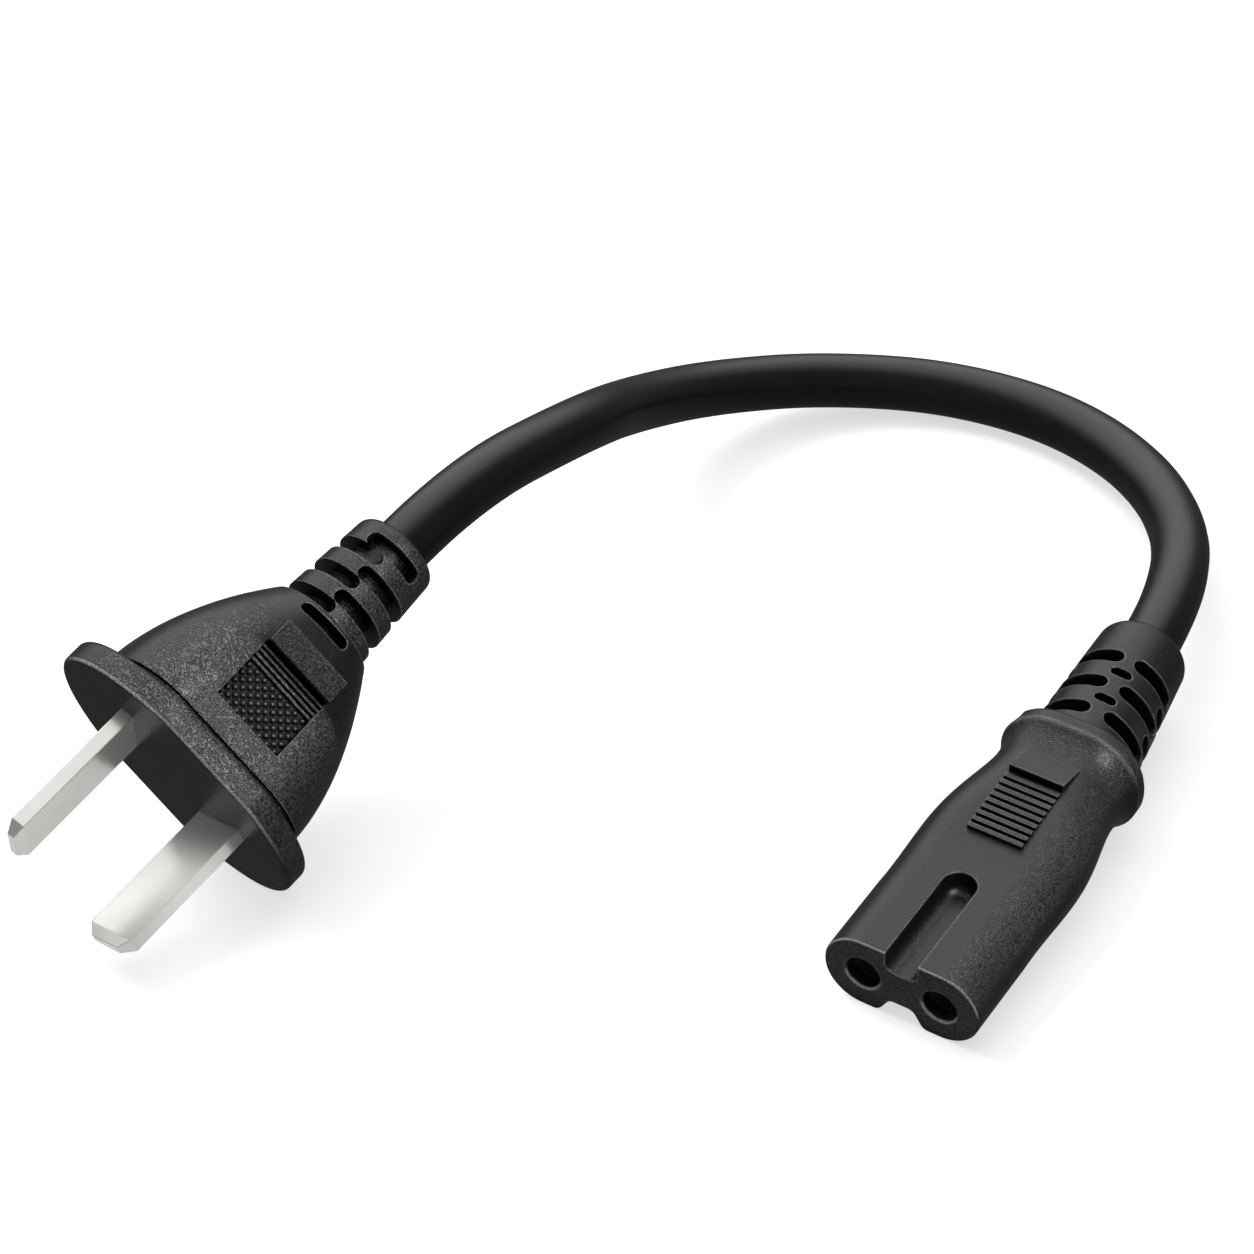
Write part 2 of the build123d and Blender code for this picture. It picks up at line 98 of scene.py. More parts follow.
GRIP_PANEL = grip_panel(foot=Vector((0, 7.9, -6.4)) * MM, tilt=5.5)


class Wire:
    """A value, colour or vector on its way through a material; arithmetic on it adds nodes."""

    def __init__(self, shader, socket):
        self.shader = shader
        self.socket = socket

    def __add__(self, other):
        return self.shader.math("ADD", self, other)

    def __sub__(self, other):
        return self.shader.math("SUBTRACT", self, other)

    def __rsub__(self, other):
        return self.shader.math("SUBTRACT", other, self)

    def __mul__(self, other):
        return self.shader.math("MULTIPLY", self, other)

    def __abs__(self):
        return self.shader.math("ABSOLUTE", self)

    __radd__ = __add__
    __rmul__ = __mul__


class Shader:
    """The nodes of one material, or of the world."""

    def __init__(self, owner):
        owner.use_nodes = True
        self.owner = owner
        self.tree = owner.node_tree
        self.tree.nodes.clear()

    def node(self, kind, settings=None, inputs=None):
        """Add a node: its settings first, then the values or links of its sockets."""
        made = self.tree.nodes.new(kind)
        for name, value in (settings or {}).items():
            setattr(made, name, value)
        for name, value in (inputs or {}).items():
            if isinstance(value, Wire):
                self.tree.links.new(value.socket, made.inputs[name])
            else:
                made.inputs[name].default_value = value
        return made

    def wire(self, kind, settings=None, inputs=None, output=0):
        """Add a node and give one of its outputs."""
        return Wire(self, self.node(kind, settings, inputs).outputs[output])

    def math(self, operation, *values):
        """Add a Math node for an operation on values or wires."""
        return self.wire("ShaderNodeMath", {"operation": operation}, dict(enumerate(values)))

    def step(self, value, low, high):
        """0 below low and 1 above high, with a smooth rise between; low may be above high."""
        settings = {"interpolation_type": "SMOOTHSTEP"}
        sockets = {"Value": value, "From Min": low, "From Max": high}
        return self.wire("ShaderNodeMapRange", settings, sockets)

    def blend(self, factor, first, second):
        """A colour between two colours."""
        sockets = {0: factor, 6: first, 7: second}
        return self.wire("ShaderNodeMix", {"data_type": "RGBA"}, sockets, 2)

    def place(self):
        """The point being shaded, in millimetres of the shared frame."""
        point = self.wire("ShaderNodeTexCoord", output="Object")
        return self.vector("SCALE", {0: point, "Scale": 1 / MM})

    def vector(self, operation, sockets, output=0):
        """Add a Vector Math node."""
        return self.wire("ShaderNodeVectorMath", {"operation": operation}, sockets, output)

    def local(self, place, home):
        """The point's X, Y and Z along a moulding's own axes, in millimetres."""
        origin = home.translation / MM
        offset = self.vector("SUBTRACT", {0: place, 1: origin})
        axes = (home.to_3x3().col[index] for index in range(3))
        return [self.vector("DOT_PRODUCT", {0: offset, 1: axis}, "Value") for axis in axes]

    def facing(self, home, index):
        """How far the surface faces along one of a moulding's axes, from -1 to 1."""
        normal = self.wire("ShaderNodeNewGeometry", output="Normal")
        axis = home.to_3x3().col[index]
        return self.vector("DOT_PRODUCT", {0: normal, 1: axis}, "Value")

    def noise(self, place, scale, detail=2.0, roughness=0.5, distortion=0.0):
        """A cloudy value of 0 to 1, with so many waves to a millimetre."""
        sockets = {
            "Vector": place,
            "Scale": scale,
            "Detail": detail,
            "Roughness": roughness,
            "Distortion": distortion,
        }
        return self.wire("ShaderNodeTexNoise", None, sockets)

    def soft_edges(self, radius):
        """The surface's normal with its sharp edges rounded to a radius."""
        return self.wire("ShaderNodeBevel", {"samples": 6}, {"Radius": radius})

    def openness(self, reach):
        """How open the surface is within a reach: 1 on a flat or convex place."""
        return self.wire("ShaderNodeAmbientOcclusion", {"samples": 6}, {"Distance": reach}, "AO")

    def relief(self, height, depth, normal=None):
        """A normal bumped by a height of 0 to 1 that stands for a depth."""
        sockets = {"Height": height, "Distance": depth, "Strength": 1.0}
        if normal:
            sockets["Normal"] = normal
        return self.wire("ShaderNodeBump", None, sockets)

    def finish(self, **sockets):
        """Close the material with its surface shader."""
        named = {name.replace("_", " "): value for name, value in sockets.items()}
        surface = self.wire("ShaderNodeBsdfPrincipled", None, named)
        self.node("ShaderNodeOutputMaterial", None, {"Surface": surface})
        return self.owner


# The mould's grain: waves and specks of noise to a ridge, and the level lines drawn through them
GRAIN_WAVES = 0.32
GRAIN_SPECKS = 0.9
GRAIN_LEVELS = 48.0

# Fades of the moulding compound, by how open a place is or how flat: the painted shade in a slot,
# the painted shade on a face, the painted highlight on an edge, and along the bend of that edge
SLOT_OPENNESS = (0.62, 0.36)
FACE_OPENNESS = (0.3, 0.95)
EDGE_OPENNESS = (0.72, 0.95)
EDGE_FLATNESS = (0.995, 0.88)

# Fades along the plug, in millimetres from its flange's front face
FOREPART = (-14.2, -12.2)
# The painted highlight on the left shoulder fades in across this span
LEFT_HIGHLIGHT_PATCH = (-19.5, -16.0)
RELIEF_RINGS = (-21.0, -22.5)
# The painted highlight along the flange's front edge fades in across this span
RIM_FRONT = (-0.8, -0.5)

# Fades along the connector, in millimetres from its front face
NOSE_FACE = (-0.6, -0.2)
# The painted highlight along the nose's upper edge fades in across this span
NOSE_LIP = (-1.2, -0.7)
SCOOP_START = (-31.0, -32.5)
SCOOP_END = (-36.0, -35.2)
# Middle of the collar's ridge, where a painted highlight runs
COLLAR_RIDGE = -35.0


def new_shader(name):
    return Shader(bpy.data.materials.new(name))


def worm_grain(shader, place, size):
    """The winding grain of a spark-eroded mould, 0 to 1: level lines of a noise, a size apart."""
    ridge = size / MM
    field = shader.noise(place, GRAIN_WAVES / ridge, detail=2.0, roughness=0.5, distortion=0.3)
    winding = shader.math("SINE", field * GRAIN_LEVELS) * 0.5 + 0.5
    speckle = shader.noise(place, GRAIN_SPECKS / ridge, detail=1.0, roughness=0.5)
    return shader.step(winding * 0.6 + speckle * 0.8, 0.45, 0.95)


def compound(shader, place, grain_and_light, look, size=1.0, dark=0.0, highlight_line=0.0, painted_shade=0.0):
    """Black moulding compound, grained and lightened by grain_and_light, which partly stands for
    painted light.

    It has painted shade in its slots and crevices and where painted_shade says so, is plain where
    dark says so, and has a painted highlight along its edges and along highlight lines.
    """
    grain = worm_grain(shader, place, look.grain_size * size)
    broad = shader.noise(place, 0.22, detail=3.0, roughness=0.6)
    pores = shader.noise(place, 3.0, detail=2.0, roughness=0.6)
    height = grain * grain_and_light + pores * 0.1 + broad * 0.3
    rounded = shader.soft_edges(look.edge_radius)
    normal = shader.wire("ShaderNodeNewGeometry", output="Normal")
    flatness = shader.vector("DOT_PRODUCT", {0: rounded, 1: normal}, "Value")
    sharpness = shader.step(flatness, *EDGE_FLATNESS)
    clean = 1.0 - dark
    open_sky = shader.openness(look.crevice)
    # Painted shade: slots and crevices, by how open they are, and the places painted_shade names,
    # are painted dark and made metallic so they reflect nothing
    slot_shade = shader.math("MAXIMUM", shader.step(open_sky, *SLOT_OPENNESS), painted_shade)
    # Painted highlight: sharp, open edges and the highlight lines are mixed towards a light colour
    edge = sharpness * shader.step(open_sky, *EDGE_OPENNESS) * clean
    edge_highlight_amount = shader.math("MAXIMUM", edge * (0.28 + grain * 0.32), highlight_line * (0.6 + grain * 0.4))
    cloud = 0.6 + broad * 0.8
    # Painted shade: the grain's lighter tone fades out towards crevices and corners
    exposed = shader.step(open_sky, *FACE_OPENNESS)
    # The grain's lighter tone follows grain_and_light, which each caller lays mostly on upward
    # faces, partly as painted light
    tone = grain_and_light * (0.15 + grain * 0.85) * cloud * clean * exposed
    body = shader.blend(edge_highlight_amount, shader.blend(tone, look.dark, look.light), look.painted_highlight)
    return shader.finish(
        Base_Color=shader.blend(slot_shade, body, look.slot_shade_colour),
        Metallic=slot_shade,
        Roughness=look.roughness + (broad - 0.5) * 0.12 - edge * 0.06 + dark * 0.3,
        Specular_IOR_Level=0.42,
        Normal=shader.relief(height, look.grain_depth, rounded),
    )


def plug_material(look):
    """The plug's compound: grain and painted light on its upward faces, more on the left, a
    painted highlight along the flange's front edge, and smoother lower down.
    """
    shader = new_shader("plug_compound")
    place = shader.place()
    across, upward, along = shader.local(place, PLUG)
    panel_across, rearward, out = shader.local(place, GRIP_PANEL)
    forward = shader.facing(PLUG, FORWARD)

    # The floor of the grip panel, under its pyramids and ribs
    within = shader.step(abs(panel_across), 4.6, 4.4) * shader.step(abs(rearward - 3.9), 4.1, 3.9)
    sunk = shader.step(out, 0.2, 0.05) * within

    # Painted highlight along the rounded front edge of the flange, upper left
    turning = shader.step(forward, 0.25, 0.5) * shader.step(forward, 0.97, 0.8)
    rim_highlight = turning * shader.step(along, *RIM_FRONT)
    rim_highlight = rim_highlight * shader.step(across, 14.0, 4.0) * shader.step(upward, -2.0, 4.0)

    # Grain on the fore part, a painted highlight on the left shoulder and, fainter, grain on the
    # relief's rings
    forepart = shader.step(along, *FOREPART)
    # Painted highlight on the left shoulder
    highlight_patch = shader.step(along, *LEFT_HIGHLIGHT_PATCH) * shader.step(across, -4.5, -7.0) * 0.6
    ring = shader.step(along, *RELIEF_RINGS) * 0.3
    # Painted light: the grain's lighter tone goes only on upward faces and thins towards the right
    # side, away from the light
    top = shader.step(shader.facing(PLUG, UP), 0.45, 0.95)
    left = 1.0 - shader.step(across, 3.0, 9.0) * 0.8
    grain_and_lit_top = top * left * shader.math("MAXIMUM", forepart, highlight_patch + ring) * (1.0 - sunk)
    return compound(shader, place, grain_and_lit_top + 0.04, look, dark=sunk, highlight_line=rim_highlight)


def bar_material(look):
    """The plug's compound on the grip's bar: grain and painted light on top, a painted highlight
    along the top's rear edge, and painted shade down its right-hand wall.
    """
    shader = new_shader("bar_compound")
    place = shader.place()
    rearward = shader.local(place, GRIP_PANEL)[1]
    # Painted shade down the bar's right-hand wall, which faces away from the light
    shaded_end = shader.step(shader.facing(PLUG, ACROSS), 0.35, 0.8)
    top = shader.step(shader.facing(PLUG, UP), 0.6, 0.9)
    # Painted highlight along the rear edge of the bar's top
    back_edge_highlight = shader.step(rearward, 10.45, 10.75) * top
    # The bar's top takes strong grain whose lighter tone is partly painted light from above
    return compound(shader, place, top * 2.4, look, size=0.9, highlight_line=back_edge_highlight * 0.5, painted_shade=shaded_end * 0.95)


def knurl_material(look):
    """The plug's compound on the grip: its darkest colour between the pyramids, with a painted
    highlight on their tips.
    """
    shader = new_shader("knurl_compound")
    place = shader.place()
    out = shader.local(place, GRIP_PANEL)[2]
    # Painted highlight on the pyramids' tips
    tip = shader.step(out, 0.22, 0.37)
    grain = worm_grain(shader, place, look.grain_size * 0.5)
    return shader.finish(
        Base_Color=shader.blend(tip * (0.6 + grain * 0.4), look.dark, look.knurl_tip_highlight),
        Roughness=0.6 - tip * 0.25,
        IOR=1.5,
        Normal=shader.relief(grain, 0.02 * MM),
    )


def connector_material(look):
    """The connector's compound: grain with painted light on its face, its right shoulder, before
    the collar and faintly on upward faces, and painted highlight lines along the nose's upper edge
    and the collar's ridge.
    """
    shader = new_shader("connector_compound")
    place = shader.place()
    across, _, along = shader.local(place, CONNECTOR)
    rise = shader.facing(CONNECTOR, UP)
    forward = shader.facing(CONNECTOR, FORWARD)

    # Stretches with grain; their lighter tone, laid mostly on upward faces and on the front face,
    # is partly painted light
    front = shader.step(forward, 0.8, 0.95) * shader.step(along, *NOSE_FACE)
    shoulder = shader.step(rise, 0.1, 0.6) * shader.step(across, 3.6, 6.0)
    behind_body = shader.step(along, *SCOOP_START) * shader.step(along, *SCOOP_END)
    scoop = behind_body * shader.step(rise, 0.3, 0.6)
    flat = shader.step(rise, 0.4, 0.9)
    grain_and_light = shoulder * 0.3 + scoop * 0.12 + flat * 0.03 + front * 0.3 + 0.02

    # Painted highlight lines along the nose's upper edge and the collar's ridge
    turning = shader.step(forward, 0.2, 0.5) * shader.step(forward, 0.97, 0.8)
    lip_highlight = turning * shader.step(along, *NOSE_LIP) * shader.step(rise, 0.0, 0.3)
    ridge = shader.step(abs(along - COLLAR_RIDGE), 0.4, 0.1) * shader.step(rise, 0.2, 0.6)
    highlight_line = shader.math("MAXIMUM", lip_highlight, ridge * 0.3) * 0.8
    return compound(shader, place, grain_and_light, look, size=0.7, highlight_line=highlight_line)


def sheath_material(look):
    """The cord's own sheath: smoother and blacker than the mouldings, with faint draw marks."""
    shader = new_shader("sheath")
    place = shader.place()
    broad = shader.noise(place, 0.3, detail=3.0, roughness=0.6)
    fine = shader.noise(place, 3.2, detail=2.0, roughness=0.5)
    return shader.finish(
        Base_Color=shader.blend(broad, look.sheath_dark, look.sheath_light),
        Roughness=look.sheath_roughness + (broad - 0.5) * 0.1,
        IOR=1.5,
        Normal=shader.relief(fine * 0.35 + broad * 0.65, 0.02 * MM),
    )


def nickel_material(look):
    """Satin nickel plate on the blades, rolled at its edges, with a painted light band, lighter
    and less metallic, along the lower blade.
    """
    shader = new_shader("nickel")
    place = shader.place()
    across, upward, along = shader.local(place, PLUG)
    drawn = {0: across * 6, 1: upward * 6, 2: along * 0.35}
    stretched = shader.wire("ShaderNodeCombineXYZ", None, drawn)
    streak = shader.noise(stretched, 1.0, detail=3.0, roughness=0.6)
    cloud = shader.noise(place, 0.25, detail=2.0, roughness=0.5)
    colour = shader.blend(cloud, look.nickel_dark, look.nickel_light)
    lower = shader.step(across, -2.0, 2.0)
    # Painted light: a lighter, less metallic band along the lower blade from near its root,
    # brightening it against the flange's dark reflection
    highlight_band = shader.step(along, 1.0, 6.0) * shader.step(along, 17.0, 7.0) * lower
    return shader.finish(
        Base_Color=shader.blend(highlight_band * 0.8, colour, look.nickel_highlight),
        Metallic=0.7 - highlight_band * 0.35,
        Roughness=look.nickel_roughness + (streak - 0.5) * 0.12,
        Normal=shader.relief(streak, 0.004 * MM, shader.soft_edges(look.blade_edge)),
    )


def plain_material(name, colour, roughness, metallic=0.0):
    """A finish for a piece inside a moulding: one colour with a faint mottle."""
    shader = new_shader(name)
    mottle = shader.noise(shader.place(), 0.8, detail=3.0, roughness=0.6)
    shade = [channel * 0.8 for channel in colour[:3]] + [1.0]
    return shader.finish(
        Base_Color=shader.blend(mottle, shade, colour),
        Metallic=metallic,
        Roughness=roughness + (mottle - 0.5) * 0.1,
    )


def colour_property(name, description, default):
    return bpy.props.FloatVectorProperty(
        name=name,
        description=description,
        default=(*default, 1),
        size=4,
        min=0,
        max=1,
        subtype="COLOR",
    )


def length_property(name, description, millimetres):
    return bpy.props.FloatProperty(
        name=name, description=description, default=millimetres * MM, unit="LENGTH"
    )


def number_property(name, description, default, unit="NONE"):
    return bpy.props.FloatProperty(name=name, description=description, default=default, unit=unit)


class CordFinish(bpy.types.PropertyGroup):
    """Colours and surface sizes of the visible materials."""

    dark: colour_property("Dark", "Moulding compound at its darkest", (0.004,) * 3)
    # Lightest grain tone, on upward faces partly painted light
    light: colour_property("Light", "Moulding compound at its lightest", (0.09,) * 3)
    sheath_dark: colour_property("Sheath, dark", "Cord's sheath at its darkest", (0.002,) * 3)
    sheath_light: colour_property("Sheath, light", "Cord's sheath at its lightest", (0.006,) * 3)
    # Painted shade colour of slots, holes and crevices
    slot_shade_colour: colour_property("Pit", "Bottom of slots and holes", (0.0005,) * 3)
    # Painted highlight colour of the moulding's edges and highlight lines
    painted_highlight: colour_property("Rubbed", "Moulding compound on its edges", (0.22,) * 3)
    # Painted highlight colour of the pyramids' tips
    knurl_tip_highlight: colour_property("Knurl tip", "Tips of the grip's pyramids", (0.3,) * 3)
    nickel_dark: colour_property("Nickel, dark", "Plating at its darkest", (0.58, 0.57, 0.545))
    nickel_light: colour_property("Nickel, light", "Plating at its lightest", (0.72, 0.71, 0.685))
    # Painted light colour of the lower blade's lighter band
    nickel_highlight: colour_property("Nickel, worn", "Plating rubbed matt", (0.9, 0.89, 0.87))
    grain_size: length_property("Grain size", "Distance between ridges", 0.31)
    grain_depth: length_property("Grain depth", "Depth of the grain", 0.13)
    edge_radius: length_property("Edge radius", "Rounding of the moulded edges", 0.35)
    crevice: length_property("Crevice", "Reach of the darkening in slots and corners", 2.2)
    blade_edge: length_property("Blade edge", "Rounding of the blades' edges", 0.18)
    roughness: number_property("Roughness", "Roughness of the smooth moulding", 0.3)
    sheath_roughness: number_property("Sheath roughness", "Roughness of the cord's sheath", 0.33)
    nickel_roughness: number_property("Nickel roughness", "Roughness of the plating", 0.2)


class KnurlShape(bpy.types.PropertyGroup):
    """The field of small pyramids on the plug's grip panel."""

    width: length_property("Width", "Field's size across the plug", 8.2)
    length: length_property("Length", "Field's size along the plug", 4.9)
    inset: length_property("Inset", "Field's front edge behind the panel's foot", 0.15)
    pitch: length_property("Pitch", "Distance between pyramids, along their diagonal rows", 0.8)
    height: length_property("Height", "Height of each pyramid", 0.38)


class BarShape(bpy.types.PropertyGroup):
    """The bar behind the ribs of the plug's grip panel."""

    width: length_property("Width", "Bar's size across the plug", 8.9)
    length: length_property("Length", "Bar's size along the plug", 3.0)
    front: length_property("Front", "Bar's front behind the panel's foot", 7.8)
    rise: length_property("Rise", "Height of the bar's top above the panel", 1.7)
    foot: length_property("Foot", "Height of the bar's foot, under the panel", -0.6)
    rounding: length_property("Rounding", "Rounding of the bar's edges", 0.14)


class StudioLight(bpy.types.PropertyGroup):
    """Strengths of the studio's lights."""

    room: number_property("Room", "Brightness of the room's darker sides", 0.16)
    wall: number_property("Wall", "Brightness added by the wall behind", 1.75)
    ground: number_property("Ground", "Brightness mirrored from below", 0.1)
    key: number_property("Key", "Power of the lamp on the left", 4.5, "POWER")
    fill: number_property("Fill", "Power of the lamp above", 3.0, "POWER")
    front: number_property("Front", "Power of the mouldings' lamp on the right", 3.6, "POWER")
    card: number_property("Card", "Power of the low card that lights the blades", 0.17, "POWER")
    glow: number_property("Glow", "Brightness of the floor's own glow", 0.65)


def link(name, data):
    """Put an object with this data in the scene."""
    made = bpy.data.objects.new(name, data)
    bpy.context.scene.collection.objects.link(made)
    return made


def panel_piece(name, form, material):
    """Turn a form drawn on the grip panel into a piece of the plug."""
    mesh = bpy.data.meshes.new(name)
    form.to_mesh(mesh)
    form.free()
    mesh.transform(GRIP_PANEL)
    mesh.polygons.foreach_set("use_smooth", [True] * len(mesh.polygons))
    mesh.materials.append(material)
    piece = link(name, mesh)
    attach(piece, BODY)


class POWERCORD_OT_cord(bpy.types.Operator):
    """Lay the cord along its route as one smooth curve"""

    bl_idname = "powercord.cord"
    bl_label = "Cord"

    def execute(self, context):
        curve = bpy.data.curves.new("cord", "CURVE")
        curve.dimensions = "3D"
        curve.bevel_depth = CORD_DIAMETER / 2
        curve.bevel_resolution = 10
        curve.resolution_u = 24
        curve.use_fill_caps = True
        spline = curve.splines.new("NURBS")
        spline.points.add(len(CORD_ROUTE) - 1)
        for point, place in zip(spline.points, CORD_ROUTE):
            point.co = (*(Vector(place) * MM), 1)
        spline.order_u = 3
        spline.use_endpoint_u = True
        curve.materials.append(sheath_material(context.scene.cord_finish))
        cord = link("cord", curve)
        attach(cord, BODY)
        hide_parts("cord_sheath")
        return {"FINISHED"}


class POWERCORD_OT_knurl(bpy.types.Operator):
    """Set the field of small pyramids into the plug's grip panel"""

    bl_idname = "powercord.knurl"
    bl_label = "Grip knurl"

    # Each ring of a pyramid: its share of the height, then of the foot's reach
    rings = ((0.0, 1.0), (0.45, 0.68), (0.8, 0.38), (1.0, 0.14))
    corners = 8
    corner_reach = 0.62
    side_reach = 0.76
    sunk = 0.02 * MM

    def execute(self, context):
        shape = context.scene.cord_knurl
        form = bmesh.new()
        step = shape.pitch / 2**0.5
        columns = int(shape.width / step)
        rows = int(shape.length / step)
        for row in range(rows + 1):
            for column in range(columns + 1):
                if (row + column) % 2 == 0:
                    x = (column - columns / 2) * step
                    y = shape.inset + shape.length / 2 + (row - rows / 2) * step
                    self.pyramid(form, x, y, shape)
        panel_piece("grip_knurl", form, knurl_material(context.scene.cord_finish))
        return {"FINISHED"}

    def pyramid(self, form, x, y, shape):
        """Add one diamond pyramid with a rounded tip, its foot a little under the panel."""
        rings = []
        for share, width in self.rings:
            ring = []
            for corner in range(self.corners):
                angle = 2 * pi * corner / self.corners
                spread = shape.pitch * self.corner_reach * width
                if corner % 2:
                    spread *= self.side_reach
                height = shape.height * share - self.sunk
                place = (x + spread * cos(angle), y + spread * sin(angle), height)
                ring.append(form.verts.new(place))
            rings.append(ring)
        for lower, upper in zip(rings, rings[1:]):
            for near in range(self.corners):
                far = (near + 1) % self.corners
                form.faces.new((lower[near], lower[far], upper[far], upper[near]))
        form.faces.new(rings[-1])


class POWERCORD_OT_grip_bar(bpy.types.Operator):
    """Set the raised bar behind the grip's ribs"""

    bl_idname = "powercord.grip_bar"
    bl_label = "Grip bar"

    def execute(self, context):
        shape = context.scene.cord_bar
        low = (-shape.width / 2, shape.front, shape.foot)
        high = (shape.width / 2, shape.front + shape.length, shape.rise)
        form = bmesh.new()
        bmesh.ops.create_cube(form, size=1)
        for corner in form.verts:
            corner.co = [low[axis] if corner.co[axis] < 0 else high[axis] for axis in range(3)]
        edges = [edge for edge in form.edges if max(corner.co.z for corner in edge.verts) > 0]
        bmesh.ops.bevel(
            form,
            geom=edges,
            offset=shape.rounding,
            segments=4,
            profile=0.5,
            affect="EDGES",
        )
        panel_piece("grip_bar", form, bar_material(context.scene.cord_finish))
        return {"FINISHED"}


class POWERCORD_OT_finishes(bpy.types.Operator):
    """Give each moulded, plated and inner piece its own finish"""

    bl_idname = "powercord.finishes"
    bl_label = "Finishes"

    def execute(self, context):
        look = context.scene.cord_finish
        plug = plug_material(look)
        connector = connector_material(look)
        nickel = nickel_material(look)
        brass = plain_material("contact_brass", (0.30, 0.22, 0.10, 1), 0.4, 1.0)
        copper = plain_material("copper", (0.85, 0.42, 0.26, 1), 0.35, 1.0)
        block = plain_material("block", (0.05, 0.05, 0.052, 1), 0.5)
        brown = plain_material("core_brown", (0.16, 0.06, 0.025, 1), 0.45)
        blue = plain_material("core_blue", (0.03, 0.12, 0.42, 1), 0.45)
        finishes = {
            "plug_shell": plug,
            "connector_shell": connector,
            "blade": nickel,
            "contact": brass,
            "strands": copper,
            "bridge": block,
            "carrier": block,
            "core_brown": brown,
            "core_blue": blue,
            "sheath": plug,
        }
        for name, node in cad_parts.items():
            for word, material in finishes.items():
                if word in name:
                    for holder in node.material_slots:
                        holder.material = material
                    break
            else:
                raise RuntimeError(f"no finish for {name}")
        return {"FINISHED"}


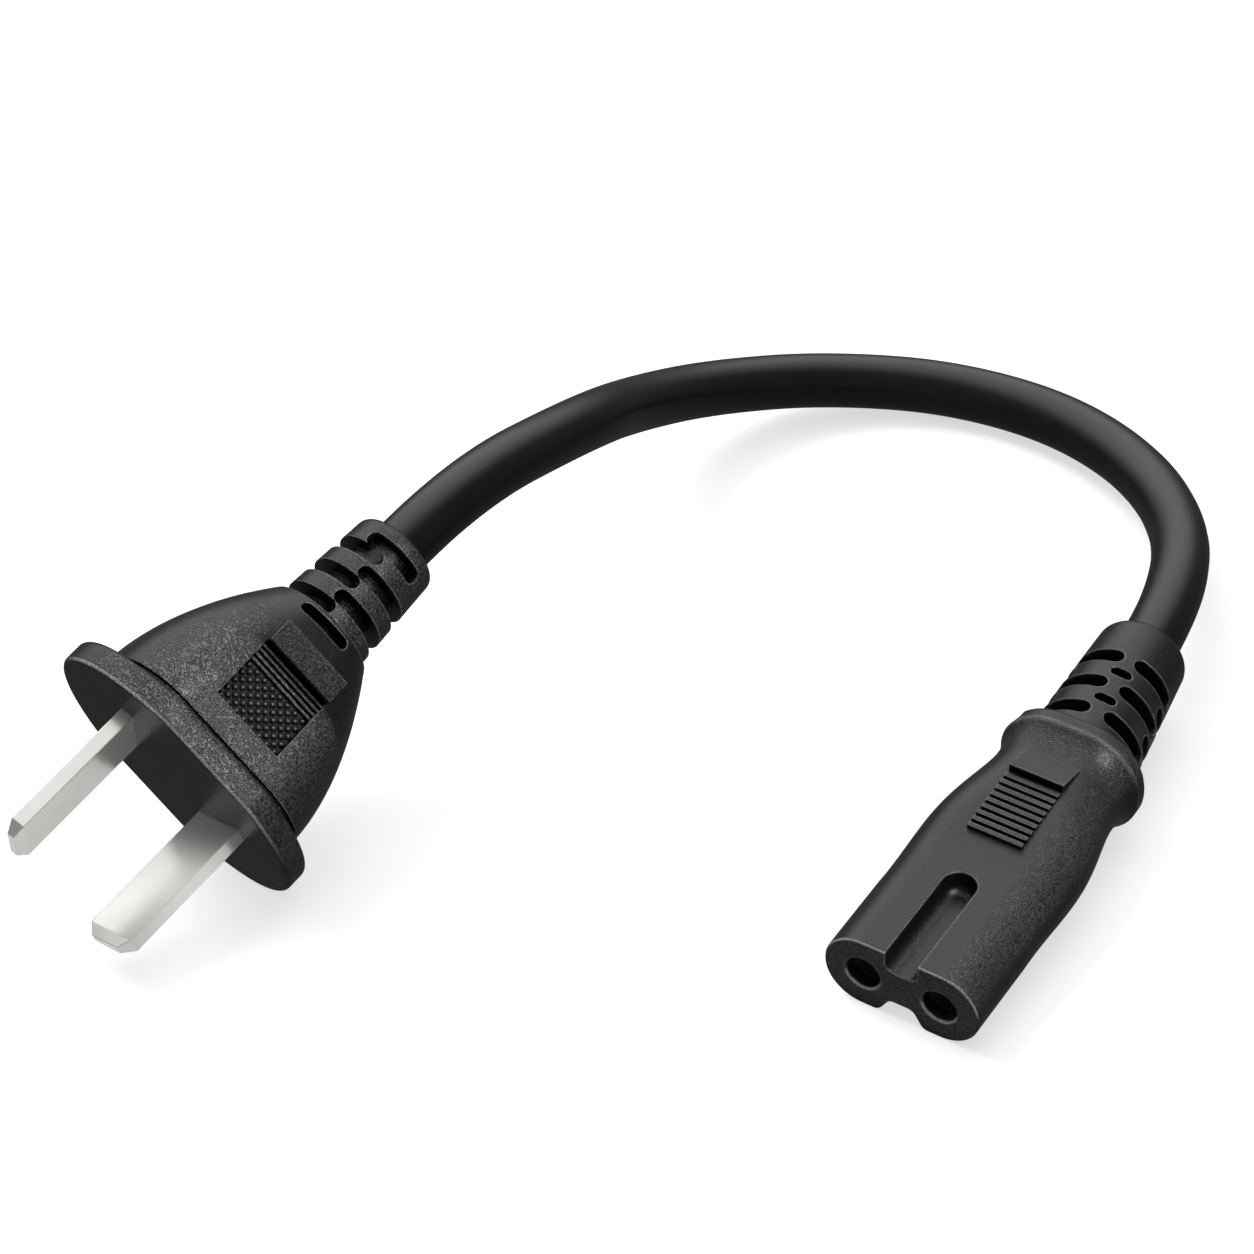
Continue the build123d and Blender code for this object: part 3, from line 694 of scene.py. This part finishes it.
class POWERCORD_OT_stage(bpy.types.Operator):
    """Set up the pale floor, the soft lights and the camera"""

    bl_idname = "powercord.stage"
    bl_label = "Stage"

    camera_place = Vector((0.984, -299.299, 283.02)) * MM
    camera_down = 40.0
    focal_pixels = 4000.0
    sensor = 36.0
    floor_reach = 3.0
    aim = Vector((0, 0.02, 0))
    wall_way = Vector((-0.2, 0.68, 0.7)).normalized()

    # Each lamp's place and side, in metres
    lamps = {
        "key": (Vector((-0.45, 0.3, 0.7)), 0.35),
        "fill": (Vector((0.0, 0.0, 1.2)), 1.2),
        "front": (Vector((0.3, -0.26, 0.55)), 0.3),
        "card": (Vector((0.03, -0.02, 0.0005)), 0.3),
    }

    def execute(self, context):
        light = context.scene.cord_light
        self.floor(light.glow)
        self.lamp("key", light.key)
        self.lamp("fill", light.fill)
        front = self.lamp("front", light.front)
        self.light_only(front, "shell")
        card = self.lamp("card", light.card)
        card.rotation_euler = (pi, 0, 0)
        self.light_only(card, "blade")
        self.sky(light)
        self.camera()
        context.scene.view_settings.view_transform = "Standard"
        return {"FINISHED"}

    def floor(self, glow):
        """A pale floor that glows faintly and isn't mirrored in the pieces."""
        mesh = bpy.data.meshes.new("floor")
        half = self.floor_reach
        corners = [(-half, -half, 0), (half, -half, 0), (half, half, 0), (-half, half, 0)]
        mesh.from_pydata(corners, [], [(0, 1, 2, 3)])
        paint = new_shader("floor").finish(
            Base_Color=(0.5, 0.5, 0.5, 1),
            Roughness=0.8,
            Emission_Color=(1, 1, 1, 1),
            Emission_Strength=glow,
        )
        mesh.materials.append(paint)
        floor = link("floor", mesh)
        floor.visible_glossy = False

    def lamp(self, name, power):
        """A square soft lamp aimed at the middle of the cord, not mirrored in the pieces."""
        place, side = self.lamps[name]
        data = bpy.data.lights.new(name, "AREA")
        data.size = side
        data.energy = power
        lamp = link(name, data)
        lamp.location = place
        lamp.rotation_euler = (self.aim - place).to_track_quat("-Z", "Y").to_euler()
        lamp.visible_glossy = False
        lamp.visible_camera = False
        return lamp

    def light_only(self, lamp, word):
        """Let a lamp light only the pieces whose names hold a word, and be mirrored in them."""
        lit = bpy.data.collections.new(lamp.name)
        for name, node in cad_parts.items():
            if word in name:
                lit.objects.link(node)
        lamp.light_linking.receiver_collection = lit
        lamp.visible_glossy = True

    def sky(self, light):
        """A bright wall behind and above, darker sides and front, and a dark ground."""
        world = bpy.data.worlds.new("studio")
        bpy.context.scene.world = world
        shader = Shader(world)
        way = shader.wire("ShaderNodeTexCoord", output="Generated")
        height = shader.vector("DOT_PRODUCT", {0: way, 1: (0, 0, 1)}, "Value")
        toward_wall = shader.vector("DOT_PRODUCT", {0: way, 1: self.wall_way}, "Value")
        wall = shader.step(toward_wall, 0.42, 1.0) * shader.step(height, -0.1, 0.5)
        above = light.room + wall * light.wall
        strength = light.ground + (above - light.ground) * shader.step(height, -0.05, 0.05)
        sockets = {"Color": (1, 1, 1, 1), "Strength": strength}
        surface = shader.wire("ShaderNodeBackground", None, sockets)
        shader.node("ShaderNodeOutputWorld", None, {"Surface": surface})

    def camera(self):
        """A long lens in front of the cord, looking down on it."""
        data = bpy.data.cameras.new("camera")
        data.sensor_width = self.sensor
        data.lens = self.sensor * self.focal_pixels / PICTURE_SIDE
        data.clip_start = 0.01
        data.clip_end = 10
        camera = link("camera", data)
        camera.location = self.camera_place
        camera.rotation_euler = (radians(90 - self.camera_down), 0, 0)
        bpy.context.scene.camera = camera


class POWERCORD_PT_panel(bpy.types.Panel):
    """The pieces of the cord, in the order they are made"""

    bl_label = "Power Cord"
    bl_space_type = "VIEW_3D"
    bl_region_type = "UI"
    bl_category = "Power Cord"

    def draw(self, context):
        column = self.layout.column()
        for operator in OPERATORS:
            column.operator(operator.bl_idname)
        for name in GROUPS:
            group = getattr(context.scene, name)
            for prop in group.bl_rna.properties:
                if prop.identifier not in ("rna_type", "name"):
                    column.prop(group, prop.identifier)


GROUPS = {
    "cord_finish": CordFinish,
    "cord_knurl": KnurlShape,
    "cord_bar": BarShape,
    "cord_light": StudioLight,
}
OPERATORS = (
    POWERCORD_OT_stage,
    POWERCORD_OT_cord,
    POWERCORD_OT_finishes,
    POWERCORD_OT_knurl,
    POWERCORD_OT_grip_bar,
)


def register():
    for group in (*GROUPS.values(), *OPERATORS, POWERCORD_PT_panel):
        bpy.utils.register_class(group)
    for name, group in GROUPS.items():
        setattr(bpy.types.Scene, name, bpy.props.PointerProperty(type=group))


def unregister():
    for name in GROUPS:
        delattr(bpy.types.Scene, name)
    for group in (POWERCORD_PT_panel, *reversed(OPERATORS), *GROUPS.values()):
        bpy.utils.unregister_class(group)


def main():
    register()
    bpy.ops.powercord.stage()
    bpy.ops.powercord.cord()
    bpy.ops.powercord.finishes()
    bpy.ops.powercord.knurl()
    bpy.ops.powercord.grip_bar()


if __name__ == "__main__":
    main()
